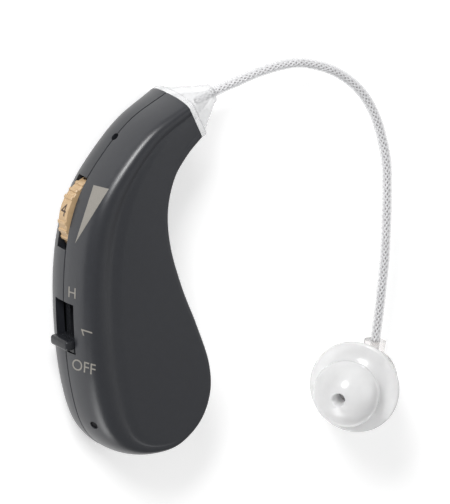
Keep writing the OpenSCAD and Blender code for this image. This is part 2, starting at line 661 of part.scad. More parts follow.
module receiver_tube() color("gainsboro") tube(concat(
    [spout_end], curve([spout_end + receiver_dir * spout_l / 2, spigot_end - end_n * spout_l / 2], 4),
    [spigot_end]), 2 * sound_r, 12);

module battery_cell() color("silver") translate([cell_c[0], cell_c[1], cell_z])
    rotate_extrude() polygon([
        [0, 0], [cell_d / 2 - 2 * cell_edge, 0], [cell_d / 2 - 2 * cell_edge, cell_edge / 2],
        [cell_d / 2 - cell_edge, cell_edge], [cell_d / 2, 2 * cell_edge],
        [cell_d / 2, cell_t - cell_edge], [cell_d / 2 - cell_edge, cell_t], [0, cell_t]]);
tab_x = tab_offset_share * cell_d;
tab_reach = cell_d / 2 + foot_t;
module battery_tabs() color("gainsboro") {
    translate([cell_c[0] + tab_x - tab_w / 2, cell_c[1], cell_z + cell_t]) cube([tab_w, tab_reach, tab_t]);
    translate([cell_c[0] + tab_x - tab_w / 2, cell_c[1] + tab_reach - tab_t, board_top])
        cube([tab_w, tab_t, cell_z + cell_t - board_top]);
    translate([cell_c[0] - tab_x - tab_w / 2, cell_c[1], cell_z - tab_t]) cube([tab_w, tab_reach, tab_t]);
    translate([cell_c[0] - tab_x - tab_w / 2, cell_c[1] + tab_reach - tab_t, board_top])
        cube([tab_w, tab_t, cell_z - tab_t - board_top]);
}
pad_z = cell_z + cell_t + tab_t + fit_gap / 2;
module battery_pad() color("#55575b") translate([cell_c[0], cell_c[1], pad_z])
    cylinder(r = pad_r, h = half_t + inner_h - fit_gap - pad_z);

module charge_jack() color("#1d1e20") translate([jack_x, jack_mouth, half_t]) rotate([-90, 0, 0])
    difference() {
        union() {
            rounded_box([jack_nose_w, jack_nose_w, jack_shoulder + over], 2 * pin_t);
            translate([0, 0, jack_shoulder])
                rounded_box([jack_w, jack_w, jack_bore_l + jack_back - jack_shoulder], 2 * pin_t);
        }
        translate([0, 0, -over]) cylinder(r = jack_bore_r, h = jack_bore_l + over);
    }
module jack_contacts() color("gold") for (x = [-1, 1])
    translate([jack_x + x * (jack_w + lead_l) / 2 - lead_l / 2, jack_mouth + jack_bore_l - pin_w,
               half_t - pin_t / 2])
        cube([lead_l, pin_w, pin_t]);

module indicator_lens() color("lightsteelblue") at_lens() translate([0, 0, -lens_l - lens_recess])
    cylinder(r = lens_r, h = lens_l);
module indicator_led() color("white") at_lens()
    translate([-led_w / 2, -led_w / 2, -lens_l - lens_recess - led_l]) cube([led_w, led_w, led_l]);

// Two leads run from the microphone, past the wheel, down to the board
wire_foot_share = [-0.115, 0.335];
wire_foot = at_share(wire_foot_share);
wire_gap = 2.5 * wire_r;
module lead_wires() color("firebrick") {
    mic_in = [mic_dir[1], -mic_dir[0], 0];
    mic_back = [spine_x(mic_y), mic_y, half_t] + mic_in * (boot_in + boot_t + fit_gap + mic_t + wire_r);
    for (k = [-1, 1])
        tube(curve([mic_back + [0, 0, k * mic_r / 2],
                    mic_back + mic_in * wire_gap + [0, 0, k * mic_r / 2],
                    [wire_foot[0] + (k / 2 - 2) * wire_gap, wire_foot[1] + mic_r, half_t + k * wire_gap],
                    [wire_foot[0] + (k - 1) * wire_gap, wire_foot[1] + wire_gap, board_top + 2 * wire_gap],
                    [wire_foot[0] + k * wire_gap, wire_foot[1], board_top + wire_r]], 3),
             wire_r, 6, [1, 0, 0]);
}

near_shell();
far_shell();
nozzle();
sound_tube();
tip_adapter();
ear_tip();
volume_wheel();
pot_base();
pot_screw();
pot_terminals();
switch_housing();
switch_knob();
switch_terminals();
circuit_board();
amplifier_chip();
capacitors();
resistors();
microphone();
microphone_boot();
receiver();
receiver_boot();
receiver_tube();
battery_cell();
battery_tabs();
battery_pad();
charge_jack();
jack_contacts();
indicator_lens();
indicator_led();
case_screws();
lead_wires();
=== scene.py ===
# %% [markdown]
# A behind the ear hearing aid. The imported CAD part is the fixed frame: every piece that is modelled
# here sits where its CAD node sits, in metres, and rides on that node's body. The object lies on its
# far side. X points to the case's hollow side, Y to the nozzle, and Z up from the table.

# %% Load the frame
from math import acos, atan2, ceil, cos, degrees, pi, radians, sin

import bmesh
import bpy
import numpy as np
from mathutils import Matrix, Vector
from mathutils.bvhtree import BVHTree


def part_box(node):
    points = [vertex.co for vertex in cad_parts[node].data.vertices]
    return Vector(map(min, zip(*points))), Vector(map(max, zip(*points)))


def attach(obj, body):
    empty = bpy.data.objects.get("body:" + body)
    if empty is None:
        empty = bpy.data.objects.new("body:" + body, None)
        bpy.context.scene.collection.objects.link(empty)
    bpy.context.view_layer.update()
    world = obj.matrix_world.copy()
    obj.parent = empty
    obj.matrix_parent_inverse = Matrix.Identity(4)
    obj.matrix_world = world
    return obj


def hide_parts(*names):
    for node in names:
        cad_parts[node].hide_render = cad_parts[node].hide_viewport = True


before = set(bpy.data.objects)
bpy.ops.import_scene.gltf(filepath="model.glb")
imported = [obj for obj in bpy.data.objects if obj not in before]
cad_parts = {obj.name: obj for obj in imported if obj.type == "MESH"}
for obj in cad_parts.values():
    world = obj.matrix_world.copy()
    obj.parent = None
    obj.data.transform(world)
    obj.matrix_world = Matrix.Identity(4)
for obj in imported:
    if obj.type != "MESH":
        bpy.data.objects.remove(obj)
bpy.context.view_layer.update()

MM = 0.001
bpy.context.scene.view_settings.view_transform = "Standard"

# %% [markdown]
# The photograph was taken from far away with a long lens, so its lines hardly converge. The camera
# stands two metres off with a lens to match. Its right and up directions come from the two angles at
# which the object was held: it is turned about its long side and then tipped towards the viewer.

# %% Camera
turned = radians(32.6)
tipped = radians(18.5)
PIXELS_PER_MM = 7.4
PHOTO_SIZE = (450, 504)
SEAM_Z = 5.2
SEAM_PIXEL = (140, 290)
right = Vector((cos(turned), 0, sin(turned)))
up = Vector((sin(tipped) * sin(turned), cos(tipped), -sin(tipped) * cos(turned)))
toward = right.cross(up)


def photo_point(px, py):
    """The point in mm on the line of sight of a photograph's pixel, level with the seam."""
    across = (px - SEAM_PIXEL[0]) / PIXELS_PER_MM
    climb = (SEAM_PIXEL[1] - py) / PIXELS_PER_MM
    return Vector((0, 0, SEAM_Z)) + right * across + up * climb


CAMERA_DISTANCE = 2.0
bpy.ops.object.camera_add()
camera = bpy.context.object
camera.name = "camera"
camera.data.sensor_fit = "VERTICAL"
camera.data.sensor_height = 24
camera.data.lens = 24 * CAMERA_DISTANCE / (PHOTO_SIZE[1] / PIXELS_PER_MM * MM)
camera.data.clip_end = 20
aim = photo_point(PHOTO_SIZE[0] / 2, PHOTO_SIZE[1] / 2) * MM
camera.matrix_world = Matrix.Translation(aim + toward * CAMERA_DISTANCE) @ Matrix(
    (right, up, toward)).transposed().to_4x4()
bpy.context.scene.camera = camera
print("camera looks at", [round(v / MM, 1) for v in aim])

# %% [markdown]
# Small helpers come first. Each piece ends with its object at the origin and its place in its mesh,
# rides on a CAD body, gets its material, and takes the place of its CAD node.


# %% Helpers for pieces
def deselect():
    bpy.ops.object.select_all(action="DESELECT")


def pick(piece):
    deselect()
    piece.select_set(True)
    bpy.context.view_layer.objects.active = piece


def settle(piece):
    """Moves the object's place, turn and scale into its mesh."""
    pick(piece)
    bpy.ops.object.transform_apply(location=True, rotation=True, scale=True)


def smooth(piece, angle=32):
    pick(piece)
    bpy.ops.object.shade_smooth_by_angle(angle=radians(angle))


def tidy_normals(piece):
    pick(piece)
    bpy.ops.object.mode_set(mode="EDIT")
    bpy.ops.mesh.select_all(action="SELECT")
    bpy.ops.mesh.remove_doubles(threshold=0.001 * MM)
    bpy.ops.mesh.normals_make_consistent(inside=False)
    bpy.ops.object.mode_set(mode="OBJECT")


def apply_modifiers(piece):
    pick(piece)
    for modifier in list(piece.modifiers):
        bpy.ops.object.modifier_apply(modifier=modifier.name)


def bevel(piece, width, segments):
    modifier = piece.modifiers.new("bevel", "BEVEL")
    modifier.width = width * MM
    modifier.segments = segments
    modifier.limit_method = "ANGLE"
    modifier.angle_limit = radians(30)
    apply_modifiers(piece)


def cut(piece, tool, operation="DIFFERENCE"):
    modifier = piece.modifiers.new("cut", "BOOLEAN")
    modifier.object = tool
    modifier.operation = operation
    modifier.solver = "EXACT"
    apply_modifiers(piece)
    bpy.data.objects.remove(tool)


def mesh_piece(name, points, faces):
    """A mesh from points in mm."""
    mesh = bpy.data.meshes.new(name)
    mesh.from_pydata([tuple(float(c) * MM for c in p) for p in points], [], faces)
    mesh.update()
    piece = bpy.data.objects.new(name, mesh)
    bpy.context.collection.objects.link(piece)
    return piece


def loft(name, rows):
    """Joins rows of points into a closed skin. Each end is closed by strips across its row."""
    n = len(rows[0])
    m = len(rows)
    points = [p for r in rows for p in r]
    faces = [(j * n + i, j * n + (i + 1) % n, (j + 1) * n + (i + 1) % n, (j + 1) * n + i)
             for j in range(m - 1) for i in range(n)]
    for base, turn in ((0, -1), ((m - 1) * n, 1)):
        for i in range(ceil(n / 2) - 1):
            strip = [base + i, base + i + 1, base + n - 2 - i, base + n - 1 - i]
            faces.append(tuple(dict.fromkeys(strip))[::turn])
    piece = mesh_piece(name, points, faces)
    tidy_normals(piece)
    return piece


def round_tool(radius, length, frame_matrix, sides=48):
    """A cylinder that starts at the frame's origin and runs along its Z, sizes in mm."""
    bpy.ops.mesh.primitive_cylinder_add(radius=radius * MM, depth=length * MM, vertices=sides,
                                        location=(0, 0, length * MM / 2))
    tool = bpy.context.object
    settle(tool)
    tool.data.transform(frame_matrix)
    return tool


def box_tool(low, high, frame_matrix):
    """A box between two corners in mm, in a frame."""
    size = [(b - a) * MM for a, b in zip(low, high)]
    centre = [(a + b) / 2 * MM for a, b in zip(low, high)]
    bpy.ops.mesh.primitive_cube_add(size=1, location=centre)
    tool = bpy.context.object
    tool.scale = size
    settle(tool)
    tool.data.transform(frame_matrix)
    return tool


def at(x, y, z):
    """A frame in metres at a place in mm, not turned."""
    return Matrix.Translation(Vector((x, y, z)) * MM)


def frame_at(point, z_axis):
    """A frame in metres whose Z runs along z_axis and whose X lies nearest to straight up."""
    z = Vector(z_axis).normalized()
    y = z.cross(Vector((0, 0, 1))).normalized()
    x = y.cross(z)
    return at(*point) @ Matrix((x, y, z)).transposed().to_4x4()


def lathe(name, profile, frame_matrix, steps=96):
    """Spins a profile of (radius, height) points in mm round the frame's Z."""
    points = [(r, 0, h) for r, h in profile]
    piece = mesh_piece(name, points, [])
    piece.data.edges.add(len(points) - 1)
    for i, edge in enumerate(piece.data.edges):
        edge.vertices = (i, i + 1)
    pick(piece)
    bpy.ops.object.mode_set(mode="EDIT")
    bpy.ops.mesh.select_all(action="SELECT")
    bpy.ops.mesh.spin(steps=steps, angle=2 * pi, center=(0, 0, 0), axis=(0, 0, 1))
    bpy.ops.object.mode_set(mode="OBJECT")
    tidy_normals(piece)
    piece.data.transform(frame_matrix)
    return piece


def finish_piece(piece, name, body, slot, material, *nodes):
    """Names the piece, gives it its finish and its body, and lets it stand for its CAD nodes."""
    piece.name = name
    piece.data.name = name
    piece.data.materials.clear()
    piece.data.materials.append(material)
    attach(piece, body)
    if nodes:
        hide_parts(*nodes)
    print(name, "has", len(piece.data.polygons), "faces")
    return piece


# %% [markdown]
# Finishes are written as short sums. One small class wraps a shader socket, so that a pattern reads
# like arithmetic, and each sum adds its own Math nodes.


# %% Shader helpers
NOISE_ROUGHNESS = 0.6


class Value:
    """A number that a shader works out, with the usual signs for its sums."""

    def __init__(self, finish, socket):
        self.finish = finish
        self.socket = socket

    def _sum(self, operation, a, b):
        return self.finish.node("ShaderNodeMath", {"operation": operation}, {0: a, 1: b})

    def __add__(self, other): return self._sum("ADD", self, other)
    def __radd__(self, other): return self._sum("ADD", other, self)
    def __mul__(self, other): return self._sum("MULTIPLY", self, other)
    def __rmul__(self, other): return self._sum("MULTIPLY", other, self)
    def __pow__(self, other): return self._sum("POWER", self, other)


class Finish:
    """A material with a Principled shader, and a method that adds any other node."""

    def __init__(self, name, colour, roughness, **constants):
        self.material = bpy.data.materials.new(name)
        self.material.use_nodes = True
        self.tree = self.material.node_tree
        self.shader = self.tree.nodes["Principled BSDF"]
        self.shader.inputs["Base Color"].default_value = (*colour, 1)
        self.shader.inputs["Roughness"].default_value = roughness
        for key, value in constants.items():
            self.shader.inputs[key.replace("_", " ")].default_value = value

    def node(self, kind, settings=(), links=(), output=0):
        made = self.tree.nodes.new(kind)
        for key, value in dict(settings).items():
            setattr(made, key, value)
        for key, value in dict(links).items():
            if isinstance(value, Value):
                self.tree.links.new(value.socket, made.inputs[key])
            else:
                made.inputs[key].default_value = value
        return Value(self, made.outputs[output])

    def place(self):
        """Object coordinates in mm, so that a pattern's sizes are real ones."""
        point = self.node("ShaderNodeTexCoord", output="Object")
        return self.node("ShaderNodeMapping", links={"Vector": point, "Scale": [1 / MM] * 3})

    def noise(self, size, detail):
        """A soft pattern from 0 to 1 whose blotches are about size mm across."""
        return self.node("ShaderNodeTexNoise", links={
            "Vector": self.place(), "Scale": 1 / size, "Detail": detail,
            "Roughness": NOISE_ROUGHNESS})

    def blend(self, factor, low, high):
        return self.node("ShaderNodeMix", {"data_type": "RGBA"}, {
            0: factor, 6: (*low, 1), 7: (*high, 1)}, output=2)

    def vary(self, socket, value):
        self.tree.links.new(value.socket, self.shader.inputs[socket])

    def bump(self, height, depth):
        """Raises the surface by depth mm where height is 1."""
        self.vary("Normal", self.node("ShaderNodeBump", links={
            "Height": height, "Distance": depth * MM, "Strength": 1.0}))


# %% [markdown]
# The case is moulded in a dark grey plastic with a fine spark-eroded grain. The grain breaks up the
# reflections a little, and a much larger, faint mottle keeps the broad surfaces from looking flat.

# %% Case finishes
case_grey = Finish("case_grey_plastic", (0.021, 0.022, 0.027), 0.36,
                   Specular_IOR_Level=0.6)
grain = case_grey.noise(0.16, 2.0)
mottle = case_grey.noise(0.9, 3.0)
case_grey.vary("Base Color", case_grey.blend(
    grain * 0.5 + mottle * 0.5, (0.014, 0.015, 0.019), (0.025, 0.027, 0.032)))
case_grey.vary("Roughness", 0.28 + grain * 0.12)
case_grey.bump(grain, 0.006)

print_grey = Finish("print_warm_grey", (0.27, 0.26, 0.23), 0.5)
speck = print_grey.noise(0.12, 2.0)
print_grey.vary("Base Color", print_grey.blend(speck, (0.20, 0.188, 0.166), (0.275, 0.26, 0.235)))

switch_black = Finish("switch_black_plastic", (0.018, 0.019, 0.022), 0.22,
                      Specular_IOR_Level=0.35)
smear = switch_black.noise(0.5, 2.0)
switch_black.vary("Roughness", 0.18 + smear * 0.12)

# %% [markdown]
# The wheel is a beige plastic whose tone varies a little at random, and the print on its lands is a
# brown that is nearly black.

# %% Wheel finishes
wheel_beige = Finish("wheel_beige_plastic", (0.72, 0.52, 0.32), 0.42)
tone = wheel_beige.noise(0.7, 3.0)
wheel_beige.vary("Base Color", wheel_beige.blend(tone, (0.44, 0.29, 0.15), (0.58, 0.42, 0.25)))
wheel_beige.vary("Roughness", 0.36 + tone * 0.14)
wheel_beige.bump(wheel_beige.noise(0.1, 2.0), 0.004)
digit_brown = Finish("digit_brown_print", (0.045, 0.024, 0.014), 0.5)
ink = digit_brown.noise(0.15, 2.0)
digit_brown.vary("Base Color", digit_brown.blend(ink, (0.035, 0.018, 0.010), (0.07, 0.04, 0.025)))

# %% [markdown]
# The ear tip is soft translucent silicone, and the adapter behind it is clear with a faint warm tint.
# They let light through, so part of their look is what is behind them, and a little scattering keeps
# the silicone milky. The nozzle's wall is nearly invisible face on and shows where it is edge on.

# %% Clear and soft finishes
silicone = Finish("silicone_milky", (0.93, 0.93, 0.94), 0.2, Subsurface_Weight=0.45,
                  Subsurface_Scale=0.002, Transmission_Weight=0.35, IOR=1.41, Coat_Weight=0.35,
                  Coat_Roughness=0.08)
silicone.shader.inputs["Subsurface Radius"].default_value = (1.0, 1.0, 1.0)
milk = silicone.noise(0.8, 4.0)
silicone.vary("Base Color", silicone.blend(milk, (0.90, 0.90, 0.91), (0.96, 0.96, 0.96)))
silicone.vary("Roughness", 0.16 + milk * 0.14)
silicone.bump(silicone.noise(0.25, 3.0), 0.004)

clear_plastic = Finish("nozzle_clear_plastic", (0.78, 0.785, 0.795), 0.12)
ripple = clear_plastic.noise(1.4, 2.0)
edge_of = clear_plastic.node("ShaderNodeLayerWeight", links={"Blend": 0.4}, output="Facing")
clear_plastic.vary("Alpha", 0.15 + (edge_of ** 1.3) * 0.62)
clear_plastic.vary("Roughness", 0.08 + ripple * 0.1)

adapter_clear = Finish("adapter_clear_plastic", (0.94, 0.92, 0.915), 0.16, Transmission_Weight=0.75,
                       IOR=1.45)
haze = adapter_clear.noise(0.7, 3.0)
adapter_clear.vary("Base Color", adapter_clear.blend(
    haze, (0.80, 0.78, 0.775), (0.90, 0.885, 0.88)))
adapter_clear.vary("Roughness", 0.12 + haze * 0.12)

# %% [markdown]
# The sound tube is a clear wall over a silver braid. Like the nozzle's, the wall turns greyer where it
# is seen edge on, which the Layer Weight node gives. The braid is made of real strands, and a darker
# core with a faint lilac tint shows through its gaps.

# %% Tube finishes
tube_wall = Finish("tube_clear_wall", (0.74, 0.74, 0.76), 0.08)
edge_on = tube_wall.node("ShaderNodeLayerWeight", links={"Blend": 0.35}, output="Facing")
tube_wall.vary("Alpha", 0.12 + (edge_on ** 1.5) * 0.5)
tube_wall.vary("Roughness", 0.06 + tube_wall.noise(0.9, 2.0) * 0.08)
braid_silver = Finish("braid_silver_white", (0.86, 0.86, 0.87), 0.3)
sheen = braid_silver.noise(0.3, 2.0)
braid_silver.vary("Base Color", braid_silver.blend(sheen, (0.70, 0.70, 0.71), (0.84, 0.84, 0.85)))
core_lilac = Finish("braid_core_lilac", (0.20, 0.18, 0.21), 0.6)
patch = core_lilac.noise(0.9, 2.0)
core_lilac.vary("Base Color", core_lilac.blend(patch, (0.24, 0.22, 0.21), (0.40, 0.375, 0.39)))


# %% [markdown]
# The pieces inside the case are CAD solids, and each keeps its node. They get plain finishes of
# their own, because the case can be opened: green board, steel capsules, brass contacts, soft boots.

# %% Finishes for the pieces inside
def speckled(name, low, high, roughness, size=0.4, **constants):
    """A finish between two close colours, with a faint roughness pattern."""
    made = Finish(name, low, roughness, **constants)
    pattern = made.noise(size, 3.0)
    made.vary("Base Color", made.blend(pattern, low, high))
    made.vary("Roughness", roughness * 0.85 + pattern * (roughness * 0.3))
    return made


steel = speckled("capsule_steel", (0.55, 0.56, 0.58), (0.70, 0.71, 0.73), 0.26, 0.3, Metallic=1.0)
brass = speckled("contact_brass", (0.72, 0.53, 0.24), (0.85, 0.66, 0.34), 0.28, 0.2, Metallic=1.0)
board_green = speckled("board_green", (0.012, 0.10, 0.045), (0.02, 0.15, 0.065), 0.35)
chip_black = speckled("chip_black", (0.018, 0.018, 0.02), (0.035, 0.035, 0.038), 0.5)
ceramic_tan = speckled("ceramic_tan", (0.42, 0.30, 0.18), (0.52, 0.39, 0.25), 0.5)
boot_black = speckled("boot_black_rubber", (0.015, 0.015, 0.016), (0.03, 0.03, 0.032), 0.7)
boot_grey = speckled("boot_grey_rubber", (0.17, 0.17, 0.18), (0.25, 0.25, 0.26), 0.65)
resin_brown = speckled("base_brown_resin", (0.16, 0.08, 0.035), (0.24, 0.13, 0.06), 0.45)
# The indicator's lens and LED are painted nearly black and reflect little: painted shade that stands
# in for the darkness of the indicator's hole.
lens_painted_hole_shade = speckled("lens_painted_hole_shade", (0.003, 0.003, 0.004), (0.006, 0.006, 0.008), 0.45,
                       Specular_IOR_Level=0.08)
wire_red = speckled("wire_red", (0.45, 0.035, 0.03), (0.55, 0.05, 0.04), 0.35)
INSIDE = {
    "pot_base": resin_brown, "pot_screw": steel, "pot_terminals": brass,
    "switch_housing": switch_black, "switch_terminals": brass, "circuit_board": board_green,
    "amplifier_chip": chip_black, "capacitors": ceramic_tan, "resistors": chip_black,
    "microphone": steel, "microphone_boot": boot_black, "receiver": steel,
    "receiver_boot": boot_grey, "receiver_tube": boot_grey, "battery_cell": steel,
    "battery_tabs": steel, "battery_pad": boot_grey, "charge_jack": switch_black,
    "jack_contacts": brass, "indicator_lens": lens_painted_hole_shade, "indicator_led": lens_painted_hole_shade,
    "case_screws": steel, "lead_wires": wire_red, "tip_adapter": adapter_clear}
for node, finish in INSIDE.items():
    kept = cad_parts[node]
    kept.data.materials.clear()
    kept.data.materials.append(finish.material)
print(len(INSIDE), "CAD nodes keep their shapes")

# %% [markdown]
# The cord comes first, because its route decides what the camera sees. The route repeats the CAD
# one: it leaves the nozzle's mouth, rises, bends over in an arch and comes down to the adapter. It
# is preformed and stiff, so it holds this shape by itself. A smooth curve through its points is
# swept with a ring, square to the route at each step.

# %% Sound tube route
ROUTE = [(11.6, 26.0, 5.2), (13.5, 26.5, 5.2), (15.5, 26.9, 5.2), (18.0, 27.4, 5.1), (20.0, 27.7, 5.1),
         (22.0, 27.9, 5.1), (24.0, 27.9, 5.0), (26.0, 27.7, 5.0), (28.0, 27.1, 5.0), (30.0, 26.3, 5.0),
         (32.0, 25.2, 4.9), (34.0, 23.7, 4.9), (35.5, 22.2, 4.9), (36.8, 20.5, 4.8), (37.8, 18.7, 4.8),
         (38.6, 16.8, 4.8), (39.3, 14.6, 4.7), (39.8, 12.4, 4.7), (40.1, 10.0, 4.7), (40.2, 7.5, 4.6),
         (40.2, 5.0, 4.6), (40.2, 2.5, 4.5), (40.1, 0.0, 4.5), (40.0, -2.5, 4.5), (39.8, -5.0, 4.4),
         (39.5, -7.5, 4.4), (39.2, -10.0, 4.4), (38.9, -12.5, 4.3), (38.6, -14.5, 4.3)]
TUBE_R = 0.7
BRAID_R = 0.52


def spline(points, steps):
    """A smooth curve through points, with steps between each two."""
    p = [np.array(q, float) for q in points]
    p = [2 * p[0] - p[1]] + p + [2 * p[-1] - p[-2]]
    line = []
    for a, b, c, d in zip(p, p[1:], p[2:], p[3:]):
        for k in range(steps):
            t = k / steps
            line.append(0.5 * (2 * b + (c - a) * t + (2 * a - 5 * b + 4 * c - d) * t * t
                               + (3 * b - a - 3 * c + d) * t ** 3))
    return np.array(line + [p[-2]])


def evenly(line, spacing):
    """The same line with its points spacing apart."""
    run = np.r_[0, np.cumsum(np.linalg.norm(np.diff(line, axis=0), axis=1))]
    stops = np.linspace(0, run[-1], max(2, int(run[-1] / spacing)))
    return np.stack([np.interp(stops, run, line[:, k]) for k in range(3)], axis=1), stops


def sides_of(line):
    """Two directions square to the line at each of its points."""
    heading = np.gradient(line, axis=0)
    heading /= np.linalg.norm(heading, axis=1)[:, None]
    side = np.cross((0, 0, 1), heading)
    side /= np.linalg.norm(side, axis=1)[:, None]
    return side, np.cross(heading, side)


def swept_rows(line, radius, sides):
    side, rise = sides_of(line)
    turn = [2 * pi * k / sides for k in range(sides)]
    return [[p + radius * (a * cos(t) + b * sin(t)) for t in turn]
            for p, a, b in zip(line, side, rise)]


tube_line = spline(ROUTE, 6)

# %% [markdown]
# The braid is two families of strands that wind opposite ways. Where they cross, one passes over the
# other and the next time under it, so each strand's distance from the middle swings like a wave with
# one half swing for each crossing. Inside the nozzle the braid runs on a little way, where it shows
# through the clear wall.

# %% Braid
STRANDS = 5
STRAND_R = 0.115
STRAND_STEP = 0.085
TURN_PITCH = 4.2
WEAVE_DEPTH = 0.06
INSIDE_NOZZLE = 2.8
CORE_R = 0.34
CORE_STEP = 0.6

mouth = np.array(ROUTE[0])
mouth_out = np.array(ROUTE[1]) - mouth
mouth_out /= np.linalg.norm(mouth_out)
braid_line, braid_run = evenly(
    np.vstack([[mouth - mouth_out * INSIDE_NOZZLE * k / 4 for k in (4, 3, 2, 1)], tube_line]),
    STRAND_STEP)
braid_side, braid_rise = sides_of(braid_line)


def strand_line(k, way):
    angle = way * 2 * pi * braid_run / TURN_PITCH + 2 * pi * k / STRANDS
    wave = way * np.cos(2 * pi * STRANDS * braid_run / TURN_PITCH)
    out = BRAID_R - STRAND_R + WEAVE_DEPTH * wave
    return (braid_line + braid_side * (out * np.cos(angle))[:, None]
            + braid_rise * (out * np.sin(angle))[:, None])


def tube_mesh(lines, radius, sides):
    """One mesh of closed tubes along several lines."""
    points, faces = [], []
    for line in lines:
        base = len(points)
        rows = swept_rows(line, radius, sides)
        points += [p for r in rows for p in r]
        last = base + (len(rows) - 1) * sides
        faces += [(base + j * sides + i, base + j * sides + (i + 1) % sides,
                   base + (j + 1) * sides + (i + 1) % sides, base + (j + 1) * sides + i)
                  for j in range(len(rows) - 1) for i in range(sides)]
        faces.append(tuple(range(base + sides - 1, base - 1, -1)))
        faces.append(tuple(range(last, last + sides)))
    return points, faces


strands = [strand_line(k, way) for way in (1, -1) for k in range(STRANDS)]
braid = mesh_piece("braid", *tube_mesh(strands, STRAND_R, 6))
smooth(braid, 60)
finish_piece(braid, "tube_braid", "case", "braided_tube", braid_silver.material)
core = mesh_piece("core", *tube_mesh([evenly(braid_line, CORE_STEP)[0]], CORE_R, 12))
smooth(core, 60)
finish_piece(core, "tube_core", "case", "braided_tube", core_lilac.material)

# %% Clear tube wall
wall_tube = mesh_piece("wall", *tube_mesh([tube_line], TUBE_R, 24))
smooth(wall_tube, 60)
finish_piece(wall_tube, "sound_tube_wall", "case", "braided_tube", tube_wall.material, "sound_tube")

# %% [markdown]
# The case is a lofted shell. Its outline on the seam is a smooth curve through a few control points,
# and its wall rises from there in a quarter of a superellipse, over a crest and down into a shallow
# valley round the flat side panel. The far half's shoulder is deeper near the nozzle. The same
# shares of length, width and thickness are used in the CAD source, and the curve has more steps here.

# %% Case outline
BODY_L, BODY_W, BODY_T = 49.8, 20.7, 10.4
HALF_T = BODY_T / 2
WALL = 1.15
PANEL_T = 1.1
SHOULDER_POWER = 2.4
VALLEY_DEPTH = 0.3
VALLEY_FADE_Y, VALLEY_FADE_L, VALLEY_LEAST = -4, 16, 0.3
CREST_W = 0.45
SEAM_CHAMFER = 0.12
SEAM_SLIT = 0.07
LIP_H = 0.55
LIP_GAP = 0.05
FULL_RAMP, NO_RAMP, VALLEY_FLOOR = 0.28, 0.04, 0.36
# Each point: X share of the width, Y share of the length, then shares of the thickness for the
# shoulder depth, the valley's ramp and the far half's extra shoulder depth
OUTLINE_SHARES = [
    (0.205, 0.549, 0.135, 0.13, 0.100), (-0.075, 0.492, 0.175, 0.15, 0.210),
    (-0.297, 0.406, 0.205, 0.20, 0.200), (-0.461, 0.313, 0.240, 0.26, 0.150),
    (-0.553, 0.205, 0.260, 0.28, 0.065), (-0.588, 0.080, 0.270, 0.28, 0.010),
    (-0.585, -0.060, 0.280, 0.28, 0), (-0.552, -0.201, 0.295, 0.28, 0),
    (-0.480, -0.325, 0.295, 0.26, 0.030), (-0.380, -0.394, 0.260, 0.24, 0.060),
    (-0.236, -0.436, 0.190, 0.20, 0.080), (-0.052, -0.451, 0.125, 0.12, 0.060),
    (0.155, -0.438, 0.090, 0.05, 0.020), (0.330, -0.380, 0.080, 0.04, 0),
    (0.411, -0.297, 0.070, 0.04, 0), (0.401, -0.205, 0.070, 0.04, 0), (0.306, -0.090, 0.070, 0.04, 0),
    (0.195, 0.024, 0.070, 0.04, 0), (0.108, 0.145, 0.070, 0.04, 0), (0.087, 0.247, 0.070, 0.04, 0),
    (0.137, 0.333, 0.075, 0.04, 0), (0.237, 0.390, 0.085, 0.05, 0.010),
    (0.340, 0.427, 0.100, 0.06, 0.020)]
OUTLINE_STEPS = 9
SHOULDER_ROWS = 14

corners = np.array(OUTLINE_SHARES) * (BODY_W, BODY_L, BODY_T, BODY_T, BODY_T)
path = spline(corners, OUTLINE_STEPS)
edge = path[:, :2]
end_dir = (edge[-1] - edge[0]) / np.linalg.norm(edge[-1] - edge[0])
end_out = np.array((-end_dir[1], end_dir[0]))
heading = np.gradient(edge, axis=0)
heading /= np.linalg.norm(heading, axis=1)[:, None]
inward = np.stack([-heading[:, 1], heading[:, 0]], axis=1)
inward[0] = end_dir / (end_dir @ inward[0])
inward[-1] = -end_dir / (-end_dir @ inward[-1])
print("case outline has", len(path), "points and its flat end is",
      round(float(np.linalg.norm(edge[-1] - edge[0])), 2), "mm wide")


# %% Case halves
def row(insets, heights, depth=0.0):
    """Points of the outline, each drawn in by its own amount, at their heights over the seam."""
    flat = edge + inward * np.asarray(insets, float)[:, None]
    flat[[0, -1]] -= end_out * depth
    return np.column_stack([flat, np.broadcast_to(heights, len(path))])


